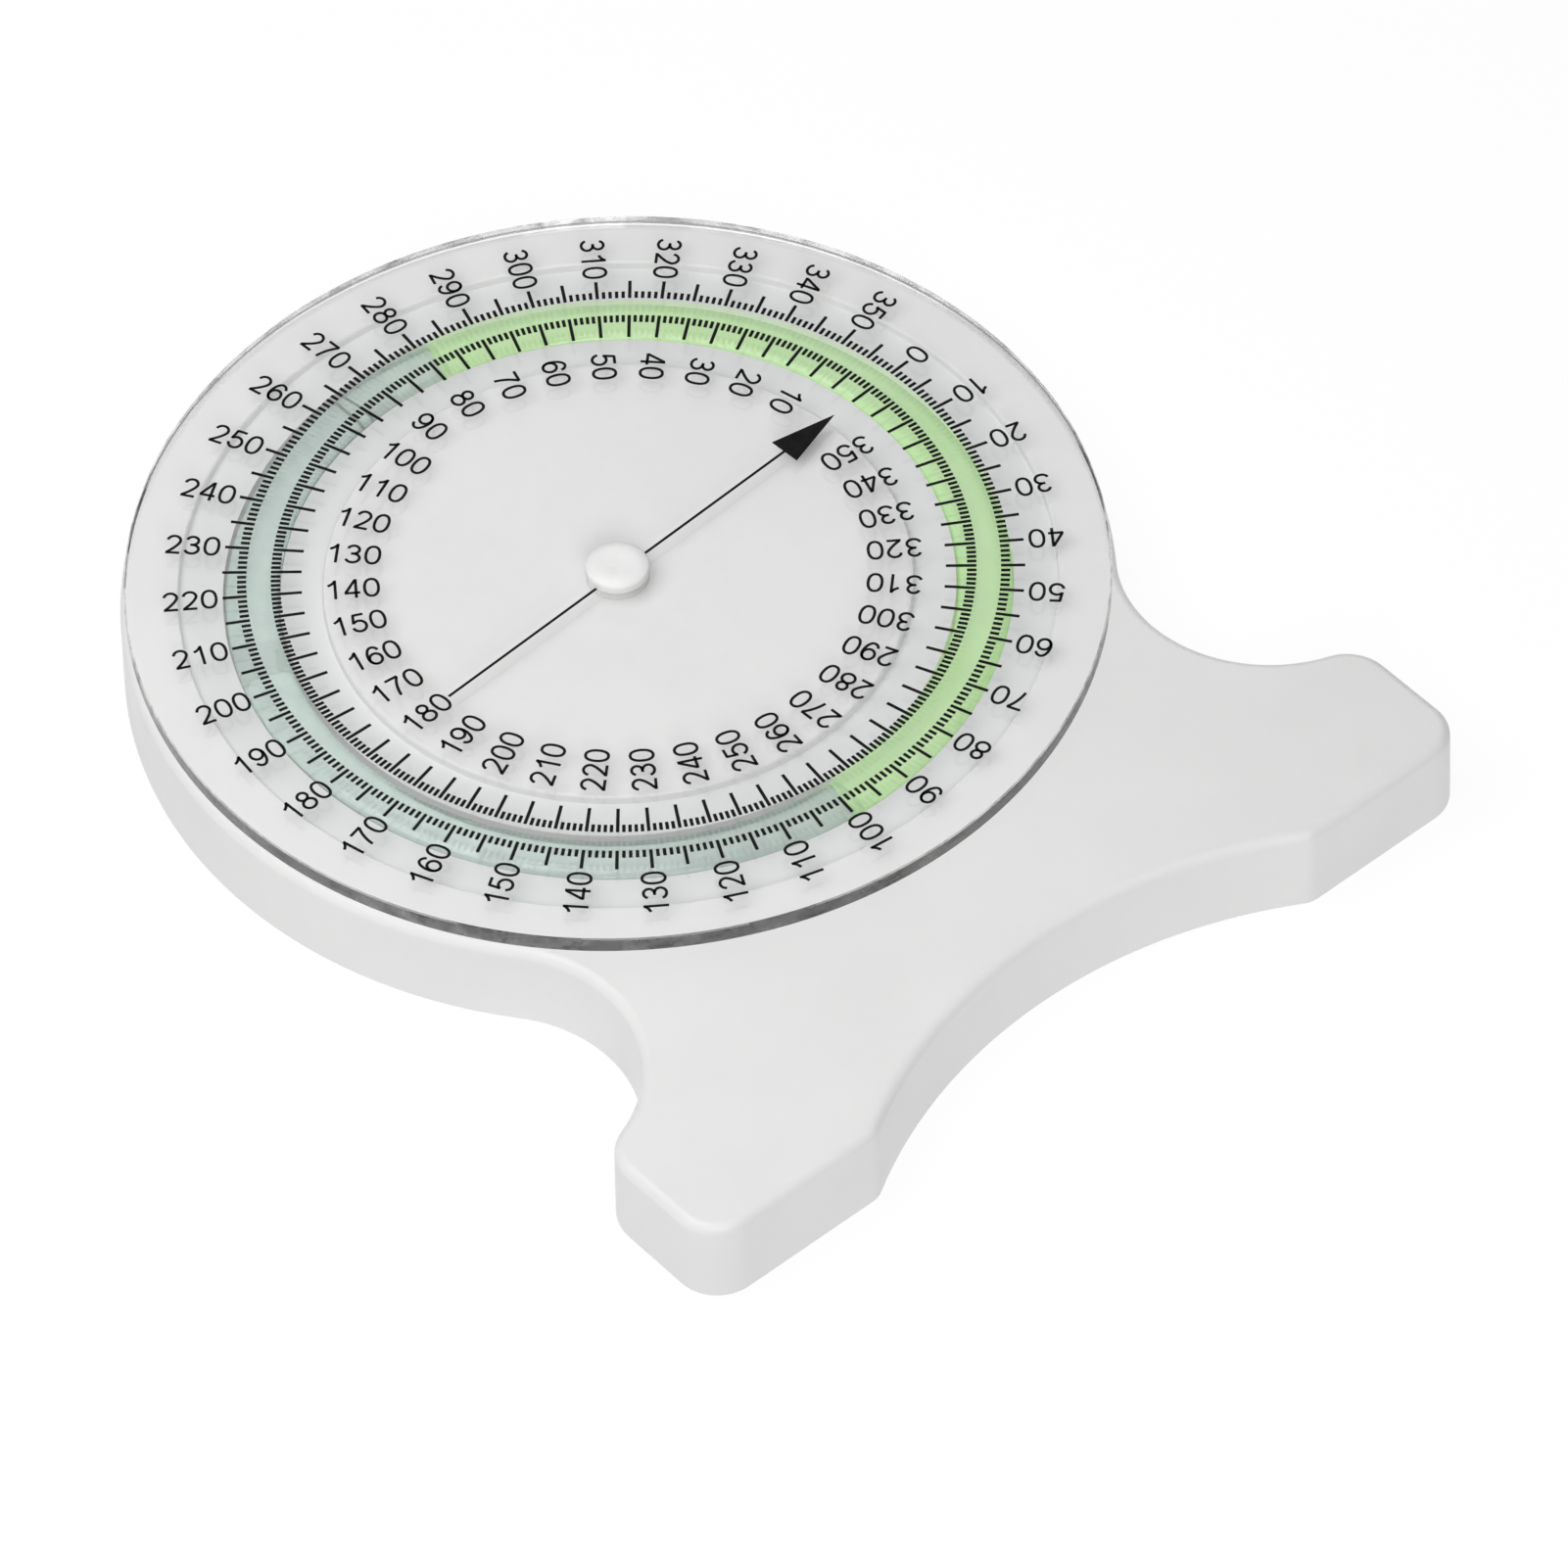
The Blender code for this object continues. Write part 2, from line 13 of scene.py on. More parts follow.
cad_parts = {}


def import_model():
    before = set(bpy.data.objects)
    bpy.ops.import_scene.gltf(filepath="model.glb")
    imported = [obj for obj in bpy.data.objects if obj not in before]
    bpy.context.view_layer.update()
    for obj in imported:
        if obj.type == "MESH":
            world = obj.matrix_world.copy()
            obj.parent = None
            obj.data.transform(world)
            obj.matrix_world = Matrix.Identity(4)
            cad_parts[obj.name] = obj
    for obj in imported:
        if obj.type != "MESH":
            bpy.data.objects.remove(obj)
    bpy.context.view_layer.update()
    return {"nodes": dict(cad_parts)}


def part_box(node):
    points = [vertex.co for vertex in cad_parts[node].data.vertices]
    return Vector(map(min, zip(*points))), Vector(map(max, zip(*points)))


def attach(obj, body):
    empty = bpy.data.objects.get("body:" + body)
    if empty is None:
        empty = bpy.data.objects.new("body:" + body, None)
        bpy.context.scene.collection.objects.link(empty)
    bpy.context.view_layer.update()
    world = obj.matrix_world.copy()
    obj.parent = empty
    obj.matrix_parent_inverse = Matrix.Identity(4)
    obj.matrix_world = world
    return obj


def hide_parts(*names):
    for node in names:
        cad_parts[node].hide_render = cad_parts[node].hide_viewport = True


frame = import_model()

MM = 0.001
NODES = frame["nodes"]


def node_box(name):
    low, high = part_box(name)
    return low / MM, high / MM


BODY_LOW, BODY_HIGH = node_box("base_housing")
TUBE_LOW, _ = node_box("vial_tube")
DISC_LOW, DISC_HIGH = node_box("dial_disc")
CAP_LOW, CAP_HIGH = node_box("hub_cap")
DIAL_Y = (DISC_LOW.y + DISC_HIGH.y) / 2

# Body outline, with the dial's axis as its centre.
HEAD_INSET = 0.25  # how much smaller the head looks in the photograph than in CAD
HEAD_R = BODY_HIGH.x - HEAD_INSET
FOOT_REACH = DIAL_Y - BODY_LOW.y
FOOT_HALF_WIDTH = 53.9
FLANK_R = 16.5  # the hollow between the head and a foot
FLANK_ANGLE = -38.0
ARCH_R = 58.45  # the arch between the feet
ARCH_APEX = 69.15
SHOULDER_CORNER_R = 5.5
TOE_CORNER_R = 5.0
INNER_CORNER_R = 3.0
HEAD_STEP = 1.5  # degrees between points, on each arc
FLANK_STEP = 3.0
CORNER_STEP = 7.5
ARCH_STEP = 1.0

BODY_TOP = BODY_HIGH.z
DRAFT = 0.15  # how much narrower the top of the moulding is, on each side
TOP_EDGE_R = 1.2
TOP_EDGE_STEPS = 7
FOOT_EDGE_R = 0.3
SIDE_WALL = 2.2
FRONT_WALL = 2.2
GROOVE_INNER_R = 32.2
GROOVE_OUTER_R = 47.8
GROOVE_WALL = 1.6
GROOVE_LIP_R = 0.35
RECESS_Z = BODY_TOP - 1.1  # floor of the wide recess
CHANNEL_GAP = 0.08  # between the vial and each side of its channel in the recess
CHANNEL_FLOOR_Z = 3.9
COUNTERBORE = (3.42, 9.9)  # radius and floor
PIVOT_BORE_R = 3.5
PIVOT_BOSS = (6.5, 5.2)  # radius and lower end
SCREW_BOSS = (3.0, 2.3)
SCREW_HOLE = (1.4, 8.2)  # radius and top
RIB_SIZE = (25.6, 1.2, 3.9)
RIB_CENTRE = (18.55, 0.0, 7.55)
HEAD_SCREW_RING_R = 25.0
HEAD_SCREW_ANGLES = (45, 135, 225, 315)
TOE_SCREW = (43.5, -68.5)

DISC_PROUD = 0.4  # how much larger the disc looks in the photograph than in CAD
DISC_R = DISC_HIGH.x + DISC_PROUD
DISC_Z = DISC_LOW.z
DISC_TOP = DISC_HIGH.z
DISC_EDGE = 0.16  # width of the bevels
DISC_SEGMENTS = 256
STEM_HOLE_R = 2.3
STEM_R = 2.0
STEM_BORE = (1.2, 9.5)  # radius and top of the screw's hole in the stem
CAP_SHIFT = (-0.3, -0.3)
CAP_LIFT = 0.02  # clear space between the button and the disc

RING_R = 39.9
TUBE_HALF = (3.05, 2.35)  # half the section's width and height
BORE_HALF = (2.7, 1.95)
TUBE_Z = TUBE_LOW.z + TUBE_HALF[1]
SECTION_POWER = 3.0  # 2 is an ellipse, more is squarer
VIAL_STEPS = 360
VIAL_SIDES = 64
SEAM_ANGLE = 96.0
SEAM_T = 0.3
SEAM_INSET = 0.1
LIQUID_HALF = (2.76, 2.01)  # a little into the wall, as a liquid that wets it looks
LIQUID_ENDS = (-92.0, 79.0)
LIQUID_STEPS = 180
LIQUID_SIDES = 48
MENISCUS = 1.1
MENISCUS_STEPS = 6

# The printed scales. Their centre is a little off the disc's, as the print lies on the real one.
PRINT_SHIFT = (0.38, -0.54)
ZERO_ANGLE = 3.6
INK_LOW = DISC_TOP - 0.01
INK_HIGH = DISC_TOP + 0.03
TICK_WIDTH = 0.38
OUTER_TICKS = (41.0, 42.0, 43.63)  # foot, end of a short tick, end of a long one
INNER_TICKS = (38.34, 37.3, 35.0)
OUTER_TEXT_R = 44.15  # inner end of the outer numbers
INNER_TEXT_R = 32.54  # outer end of the inner numbers
DIGIT_H = 2.75
DIGIT_ADVANCE = 2.1
DIGIT_WIDTH = 1.84
STROKE = 0.33
CURVE_STEPS = 8
POINTER_TIP_R = 32.2
POINTER_HEAD = (7.7, 3.9)  # length and width
POINTER_POINT = 0.02  # half the width that the arrowhead ends in
POINTER_TAIL_R = 26.2
POINTER_LINE = 0.31
POINTER_GAP_R = 2.6  # the line stops here, under the button

# Studio, in metres and watts, apart from the camera's place in millimetres from the dial's face.
FLOOR_SIZE = 3.0
FLOOR_DROP = 0.0003  # keeps the floor off the underside
WORLD_STRENGTH = 0.24
SOFTBOXES = (  # name, place, size, power
    ("overhead", (-0.14, 0.03, 0.38), 0.38, 1.06),
    ("backdrop", (0.426, 0.516, 0.743), 0.5, 0.45),
    ("front", (-0.42, -0.66, 0.60), 0.5, 2.95),
)
CAMERA_AZIMUTH = -39.52
CAMERA_ELEVATION = 48.013
CAMERA_ROLL = -1.92
CAMERA_LENS = 287.82
CAMERA_PLACE = (-577.70, -727.45, 996.0)


# Meshes

def new_object(name, mesh, materials):
    obj = bpy.data.objects.new(name, mesh)
    bpy.context.scene.collection.objects.link(obj)
    obj.location = (0, DIAL_Y * MM, 0)
    for mat in materials:
        mesh.materials.append(mat)
    return obj


def finish_mesh(bm, name, materials, sharp=30, hollow=()):
    """hollow lists the faces of a closed skin that bounds a hollow, which face into it."""
    bmesh.ops.recalc_face_normals(bm, faces=bm.faces)
    bmesh.ops.reverse_faces(bm, faces=list(hollow))
    for face in bm.faces:
        face.smooth = True
    mesh = bpy.data.meshes.new(name)
    bm.to_mesh(mesh)
    bm.free()
    mesh.set_sharp_from_angle(angle=radians(sharp))
    return new_object(name, mesh, materials)


def keep_flats_flat(obj):
    """Weights normals by face area, so rounded edges don't shade the flat faces beside them."""
    weighted = obj.modifiers.new("normals", "WEIGHTED_NORMAL")
    weighted.weight = 90
    weighted.keep_sharp = True


def point(bm, x, y, z):
    return bm.verts.new((x * MM, y * MM, z * MM))


def bridge(bm, low, high, closed=True):
    """Quads between two loops of equal length."""
    count = len(low) if closed else len(low) - 1
    faces = []
    for i in range(count):
        j = (i + 1) % len(low)
        faces.append(bm.faces.new((low[i], low[j], high[j], high[i])))
    return faces


def arc(centre, radius, start, end, step):
    """Points along an arc, its two ends included."""
    count = max(1, round(abs(end - start) / step))
    angles = [radians(start + (end - start) * i / count) for i in range(count + 1)]
    return [(centre[0] + radius * cos(a), centre[1] + radius * sin(a)) for a in angles]


def on_ring(radius, angle):
    return (radius * cos(radians(angle)), radius * sin(radians(angle)))


def direction(start, end):
    return degrees(atan2(end[1] - start[1], end[0] - start[0]))


def body_outline(inset=0.0):
    """The body's outline as tangent arcs and straight sides, moved inwards by inset."""
    flank = on_ring(HEAD_R + FLANK_R, FLANK_ANGLE)
    shoulder_x = FOOT_HALF_WIDTH - SHOULDER_CORNER_R
    shoulder_drop = sqrt((FLANK_R + SHOULDER_CORNER_R) ** 2 - (shoulder_x - flank[0]) ** 2)
    shoulder = (shoulder_x, flank[1] - shoulder_drop)
    toe = (FOOT_HALF_WIDTH - TOE_CORNER_R, -FOOT_REACH + TOE_CORNER_R)
    arch = (0.0, -ARCH_APEX - ARCH_R)
    inner_y = -FOOT_REACH + INNER_CORNER_R
    inner = (sqrt((ARCH_R + INNER_CORNER_R) ** 2 - (inner_y - arch[1]) ** 2), inner_y)
    to_shoulder = direction(flank, shoulder) + 360
    to_inner = direction(arch, inner)
    half = arc((0, 0), HEAD_R - inset, 90, 0, HEAD_STEP)
    half += arc((0, 0), HEAD_R - inset, 0, FLANK_ANGLE, HEAD_STEP)[1:]
    half += arc(flank, FLANK_R + inset, FLANK_ANGLE + 180, to_shoulder, FLANK_STEP)[1:]
    half += arc(shoulder, SHOULDER_CORNER_R - inset, to_shoulder - 180, 0, CORNER_STEP)[1:]
    half += arc(toe, TOE_CORNER_R - inset, 0, -90, CORNER_STEP)
    half += arc(inner, INNER_CORNER_R - inset, -90, to_inner - 180, CORNER_STEP)
    half += arc(arch, ARCH_R + inset, to_inner, 90, ARCH_STEP)[1:]
    return half + [(-x, y) for x, y in reversed(half[1:-1])]


def stack(name, levels, materials=()):
    """A closed solid through outlines at heights: levels is a list of (inset, height)."""
    bm = bmesh.new()
    loops = [[point(bm, x, y, z) for x, y in body_outline(inset)] for inset, z in levels]
    bm.faces.new(loops[0])
    bm.faces.new(loops[-1])
    for low, high in zip(loops, loops[1:]):
        bridge(bm, low, high)
    return finish_mesh(bm, name, materials)


def lathe(name, profile, segments, materials=(), closed=False, at=(0.0, 0.0)):
    """A profile of (radius, height) turned about an upright axis."""
    bm = bmesh.new()
    rings = []
    for r, z in profile:
        if r == 0:
            rings.append([point(bm, at[0], at[1], z)])
        else:
            ring = [on_ring(r, 360 * i / segments) for i in range(segments)]
            rings.append([point(bm, at[0] + x, at[1] + y, z) for x, y in ring])
    pairs = list(zip(rings, rings[1:]))
    if closed:
        pairs.append((rings[-1], rings[0]))
    for low, high in pairs:
        if len(low) == 1 or len(high) == 1:
            tip, ring = (low[0], high) if len(low) == 1 else (high[0], low)
            for i in range(segments):
                bm.faces.new((tip, ring[i], ring[(i + 1) % segments]))
        else:
            bridge(bm, low, high)
    return finish_mesh(bm, name, materials)


def box(name, size, centre, turn):
    """A box whose centre is turned with it about the dial's axis."""
    bm = bmesh.new()
    bmesh.ops.create_cube(bm, size=1.0, matrix=Matrix.Diagonal((*[s * MM for s in size], 1.0)))
    bmesh.ops.translate(bm, verts=bm.verts, vec=Vector(centre) * MM)
    bmesh.ops.rotate(bm, verts=bm.verts, cent=(0, 0, 0), matrix=Matrix.Rotation(radians(turn), 3, "Z"))
    return finish_mesh(bm, name, ())


def combine(target, others):
    """Cuts or joins each (operation, object), then keeps only the result."""
    for operation, other in others:
        modifier = target.modifiers.new(other.name, "BOOLEAN")
        modifier.operation = operation
        modifier.solver = "EXACT"
        modifier.object = other
    bpy.context.view_layer.update()
    graph = bpy.context.evaluated_depsgraph_get()
    mesh = bpy.data.meshes.new_from_object(target.evaluated_get(graph))
    target.modifiers.clear()
    target.data = mesh
    for _, other in others:
        bpy.data.objects.remove(other)
    for polygon in mesh.polygons:
        polygon.use_smooth = True
    mesh.set_sharp_from_angle(angle=radians(30))


def squared(value):
    """Bend a sine or cosine so that an ellipse drawn with it has fuller corners."""
    return copysign(abs(value) ** (2 / SECTION_POWER), value)


def tube_loop(bm, half, angle, sides):
    """A ring of points around the vial's centre line at an angle."""
    loop = []
    for i in range(sides):
        a = 2 * pi * i / sides
        x, y = on_ring(RING_R + half[0] * squared(cos(a)), angle)
        loop.append(point(bm, x, y, TUBE_Z + half[1] * squared(sin(a))))
    return loop


def ring_skin(bm, half, steps, sides):
    """A whole ring along the vial's centre line."""
    loops = [tube_loop(bm, half, 360 * i / steps, sides) for i in range(steps)]
    faces = []
    for low, high in zip(loops, loops[1:] + loops[:1]):
        faces += bridge(bm, low, high)
    return faces


def arc_skin(bm, ends, steps, sides, rings):
    """Part of a ring; rings gives size and shift inwards of each loop of its ends, to the middle."""
    half = rings[0][0]
    start, end = ends
    loops = [tube_loop(bm, half, start + (end - start) * i / steps, sides) for i in range(steps + 1)]
    for low, high in zip(loops, loops[1:]):
        bridge(bm, low, high)
    per_mm = degrees(1 / RING_R)
    for last, angle, sign in ((loops[0], start, 1), (loops[-1], end, -1)):
        for size, shift in rings[1:-1]:
            inner = tube_loop(bm, size, angle + sign * shift * per_mm, sides)
            bridge(bm, last, inner)
            last = inner
        x, y = on_ring(RING_R, angle + sign * rings[-1][1] * per_mm)
        tip = point(bm, x, y, TUBE_Z)
        for i in range(sides):
            bm.faces.new((tip, last[i], last[(i + 1) % sides]))


# Materials

def node_tree(name):
    mat = bpy.data.materials.new(name)
    mat.use_nodes = True
    tree = mat.node_tree
    tree.nodes.clear()
    out = tree.nodes.new("ShaderNodeOutputMaterial")
    return mat, tree, out


def add(tree, kind, inputs=None, **settings):
    node = tree.nodes.new(kind)
    for key, value in settings.items():
        setattr(node, key, value)
    for key, value in (inputs or {}).items():
        node.inputs[key].default_value = value
    return node


def noise(tree, scale, detail=2.0, roughness=0.5, stretch=None):
    coords = add(tree, "ShaderNodeTexCoord")
    source = coords.outputs["Object"]
    if stretch:
        mapping = add(tree, "ShaderNodeMapping", {"Scale": stretch})
        tree.links.new(source, mapping.inputs["Vector"])
        source = mapping.outputs["Vector"]
    settings = {"Scale": scale, "Detail": detail, "Roughness": roughness}
    texture = add(tree, "ShaderNodeTexNoise", settings)
    tree.links.new(source, texture.inputs["Vector"])
    return texture.outputs["Fac"]


def ramp(tree, fac, low, high, start=0.35, end=0.65):
    node = add(tree, "ShaderNodeValToRGB")
    node.color_ramp.elements[0].position = start
    node.color_ramp.elements[0].color = (*low, 1.0)
    node.color_ramp.elements[1].position = end
    node.color_ramp.elements[1].color = (*high, 1.0)
    tree.links.new(fac, node.inputs["Fac"])
    return node.outputs["Color"]


def spread(tree, fac, low, high):
    """Stretches the middle of a noise over low to high."""
    limits = {"From Min": 0.3, "From Max": 0.7, "To Min": low, "To Max": high}
    node = add(tree, "ShaderNodeMapRange", limits)
    tree.links.new(fac, node.inputs["Value"])
    return node.outputs["Result"]


def bump(tree, height, strength, distance):
    node = add(tree, "ShaderNodeBump", {"Strength": strength, "Distance": distance * MM})
    tree.links.new(height, node.inputs["Height"])
    return node.outputs["Normal"]


def surface(
    name, low, high, roughness, grain, depth, blotch=60.0, metallic=0.0, stretch=None, specular=0.25
):
    """An opaque material: blotchy colour, uneven roughness and a fine grain."""
    mat, tree, out = node_tree(name)
    shader = add(tree, "ShaderNodeBsdfPrincipled", {"Metallic": metallic, "Specular IOR Level": specular})
    links = tree.links
    fine = noise(tree, grain, 3.0, 0.6, stretch)
    links.new(ramp(tree, noise(tree, blotch, 4.0, 0.6), low, high), shader.inputs["Base Color"])
    links.new(spread(tree, noise(tree, blotch * 3, 3.0), *roughness), shader.inputs["Roughness"])
    links.new(bump(tree, fine, 0.6, depth), shader.inputs["Normal"])
    links.new(shader.outputs["BSDF"], out.inputs["Surface"])
    return mat


def bent_glass(name, colour, shadow, haze, haze_colour_and_shade, ior=1.49, grain=90.0, edge=None):
    """Clear material that bends what is seen through it, and lets light through to things behind it.

    shadow tints the light that it lets through. haze is the least and the greatest share of the surface
    that scatters light in a given colour: the faint haze of dust and scratches, or of the tube's plastic,
    and on the sawn edge a dark grey that is partly painted shade. edge is the tint of the glass at a
    glancing angle.
    """
    mat, tree, out = node_tree(name)
    links = tree.links
    glass = add(tree, "ShaderNodeBsdfGlass", {"Color": (*colour, 1.0), "IOR": ior})
    links.new(spread(tree, noise(tree, grain, 3.0), 0.0, 0.015), glass.inputs["Roughness"])
    links.new(bump(tree, noise(tree, 160.0, 2.0), 0.02, 0.02), glass.inputs["Normal"])
    if edge:
        facing = add(tree, "ShaderNodeLayerWeight").outputs["Facing"]
        links.new(ramp(tree, facing, colour, edge, 0.10, 0.32), glass.inputs["Color"])
    scatter = add(tree, "ShaderNodeBsdfDiffuse", {"Color": (*haze_colour_and_shade, 1.0)})
    hazy = add(tree, "ShaderNodeMixShader")
    links.new(spread(tree, noise(tree, grain, 5.0, 0.65), *haze), hazy.inputs[0])
    links.new(glass.outputs["BSDF"], hazy.inputs[1])
    links.new(scatter.outputs["BSDF"], hazy.inputs[2])
    through = add(tree, "ShaderNodeBsdfTransparent", {"Color": (*shadow, 1.0)})
    path = add(tree, "ShaderNodeLightPath")
    shader = hazy.outputs["Shader"]
    for ray in ("Is Shadow Ray", "Is Diffuse Ray"):
        mix = add(tree, "ShaderNodeMixShader")
        links.new(path.outputs[ray], mix.inputs[0])
        links.new(shader, mix.inputs[1])
        links.new(through.outputs["BSDF"], mix.inputs[2])
        shader = mix.outputs["Shader"]
    links.new(shader, out.inputs["Surface"])
    return mat


def dyed_liquid(name):
    """Bright dyed liquid that lets some light through; its glow is painted light, a little emission that
    shines without a lamp.
    """
    mat, tree, out = node_tree(name)
    links = tree.links
    # Painted glow: the green emission lights the liquid whatever lamps fall on it.
    shader = add(tree, "ShaderNodeBsdfPrincipled", {"Specular IOR Level": 0.2, "Emission Strength": 0.22})
    shader.inputs["Emission Color"].default_value = (0.46, 0.74, 0.22, 1.0)
    dye = ramp(tree, noise(tree, 130.0, 3.0), (0.46, 0.74, 0.24), (0.52, 0.79, 0.28))
    links.new(dye, shader.inputs["Base Color"])
    links.new(spread(tree, noise(tree, 220.0, 2.0), 0.08, 0.16), shader.inputs["Roughness"])
    links.new(bump(tree, noise(tree, 120.0, 2.0), 0.3, 0.02), shader.inputs["Normal"])
    through = add(tree, "ShaderNodeBsdfTransparent", {"Color": (0.75, 0.95, 0.6, 1.0)})
    mix = add(tree, "ShaderNodeMixShader", {"Fac": 0.12})
    links.new(shader.outputs["BSDF"], mix.inputs[1])
    links.new(through.outputs["BSDF"], mix.inputs[2])
    links.new(mix.outputs["Shader"], out.inputs["Surface"])
    return mat


def tinted_film(name, tint):
    """A film that only tints what is behind it, a little unevenly."""
    mat, tree, out = node_tree(name)
    through = add(tree, "ShaderNodeBsdfTransparent")
    darker = tuple(0.94 * channel for channel in tint)
    tree.links.new(ramp(tree, noise(tree, 500.0, 3.0), darker, tint), through.inputs["Color"])
    tree.links.new(through.outputs["BSDF"], out.inputs["Surface"])
    return mat


MOULDED = surface(
    "moulded_white", (0.775, 0.775, 0.772), (0.80, 0.80, 0.797), (0.30, 0.40), 2600.0, 0.012, specular=0.3
)
# Painted light: the vial's channel is whiter than the body, to lift the shade that falls in it.
CHANNEL_PAINTED_LIGHT = surface("channel_painted_light", (0.91, 0.92, 0.91), (0.94, 0.95, 0.94), (0.4, 0.5), 2600.0, 0.012)
# Painted shade: the recess floor is a little darker than the body and tinted teal, like the light that
# reaches it through the vial.
RECESS_PAINTED_SHADE = surface(
    "recess_painted_shade", (0.73, 0.75, 0.742), (0.75, 0.77, 0.762), (0.35, 0.45), 2600.0, 0.012
)
COVER = surface("cover_white", (0.70, 0.70, 0.695), (0.745, 0.745, 0.74), (0.48, 0.58), 1500.0, 0.03)
BUTTON = surface("button_white", (0.83, 0.83, 0.825), (0.85, 0.85, 0.845), (0.24, 0.32), 1800.0, 0.006)
BLACK, DARK_GREY = (0.006, 0.006, 0.006), (0.011, 0.011, 0.011)
INK = surface("black_ink", BLACK, DARK_GREY, (0.5, 0.66), 3500.0, 0.01, 900.0, specular=0.1)
CLEAR = (1.0, 1.0, 1.0)
ACRYLIC = bent_glass("clear_acrylic", CLEAR, (0.99, 0.99, 0.99), (0.02, 0.055), (0.82, 0.82, 0.82))
# Sawn edge: frosted, and its dark grey blotchy scatter is partly painted shade, standing in for the dark
# band seen through the edge.
ACRYLIC_EDGE = bent_glass("acrylic_edge", CLEAR, CLEAR, (-0.5, 1.0), (0.30, 0.30, 0.30), grain=240.0)
TUBE_SKIN = bent_glass(
    "clear_tube_skin",
    (0.97, 0.99, 0.985),
    (0.99, 1.0, 0.995),
    (0.22, 0.28),
    (0.66, 0.80, 0.73),
    ior=1.46,
    edge=(0.93, 0.985, 0.955),
)
TUBE_BORE = tinted_film("clear_tube_bore", (0.985, 1.0, 1.0))
CEMENT = tinted_film("cured_cement", (0.87, 0.95, 0.91))
# The liquid's green is its dye; its glow is painted light.
LIQUID = dyed_liquid("green_dye_painted_glow")
FOAM = surface("foam", (0.74, 0.74, 0.73), (0.80, 0.80, 0.79), (0.85, 0.95), 1400.0, 0.25, 500.0)
BRASS = surface(
    "turned_brass", (0.62, 0.46, 0.20), (0.74, 0.57, 0.28), (0.22, 0.34), 900.0, 0.01, 300.0, 1.0, (1, 1, 8)
)
NYLON = surface("nylon", (0.77, 0.77, 0.76), (0.80, 0.80, 0.79), (0.45, 0.55), 1200.0, 0.01)
ZINC = surface(
    "zinc_plate", (0.48, 0.49, 0.51), (0.63, 0.64, 0.66), (0.25, 0.42), 1600.0, 0.01, 400.0, 1.0
)
SPRING = surface(
    "spring_steel", (0.33, 0.34, 0.37), (0.45, 0.46, 0.49), (0.22, 0.36), 1600.0, 0.01, 400.0, 1.0
)


# Body

def screw_places():
    toes = [(side * TOE_SCREW[0], TOE_SCREW[1]) for side in (-1, 1)]
    return toes + [on_ring(HEAD_SCREW_RING_R, a) for a in HEAD_SCREW_ANGLES]


def shell_levels():
    """Inset and height of each outline up the outside: foot edge, drafted side, rounded top edge."""
    quarter = [radians(a) for a in (0, 30, 60, 90)]
    levels = [(FOOT_EDGE_R * (1 - sin(a)), FOOT_EDGE_R * (1 - cos(a))) for a in quarter]
    shoulder = BODY_TOP - TOP_EDGE_R
    drafted = DRAFT * shoulder / BODY_TOP
    for i in range(TOP_EDGE_STEPS + 1):
        a = pi / 2 * i / TOP_EDGE_STEPS
        levels.append((drafted + TOP_EDGE_R * (1 - cos(a)), shoulder + TOP_EDGE_R * sin(a)))
    return levels


def groove_profile():
    """The section to cut: a wide recess with a rounded lip at each side, and the vial's channel in it."""
    outer, inner = [], []
    for degree in (0, 30, 60, 90):
        a = radians(degree)
        z = BODY_TOP - GROOVE_LIP_R * (1 - sin(a))
        outer.append((GROOVE_OUTER_R + GROOVE_LIP_R * (1 - cos(a)), z))
        inner.append((GROOVE_INNER_R - GROOVE_LIP_R * (1 - cos(a)), z))
    above = BODY_TOP + 1
    reach = TUBE_HALF[0] + CHANNEL_GAP
    return [
        (RING_R - reach, CHANNEL_FLOOR_Z),
        (RING_R + reach, CHANNEL_FLOOR_Z),
        (RING_R + reach, RECESS_Z),
        (GROOVE_OUTER_R, RECESS_Z),
        *outer,
        (outer[-1][0], above),
        (inner[-1][0], above),
        *reversed(inner),
        (GROOVE_INNER_R, RECESS_Z),
        (RING_R - reach, RECESS_Z),
    ]


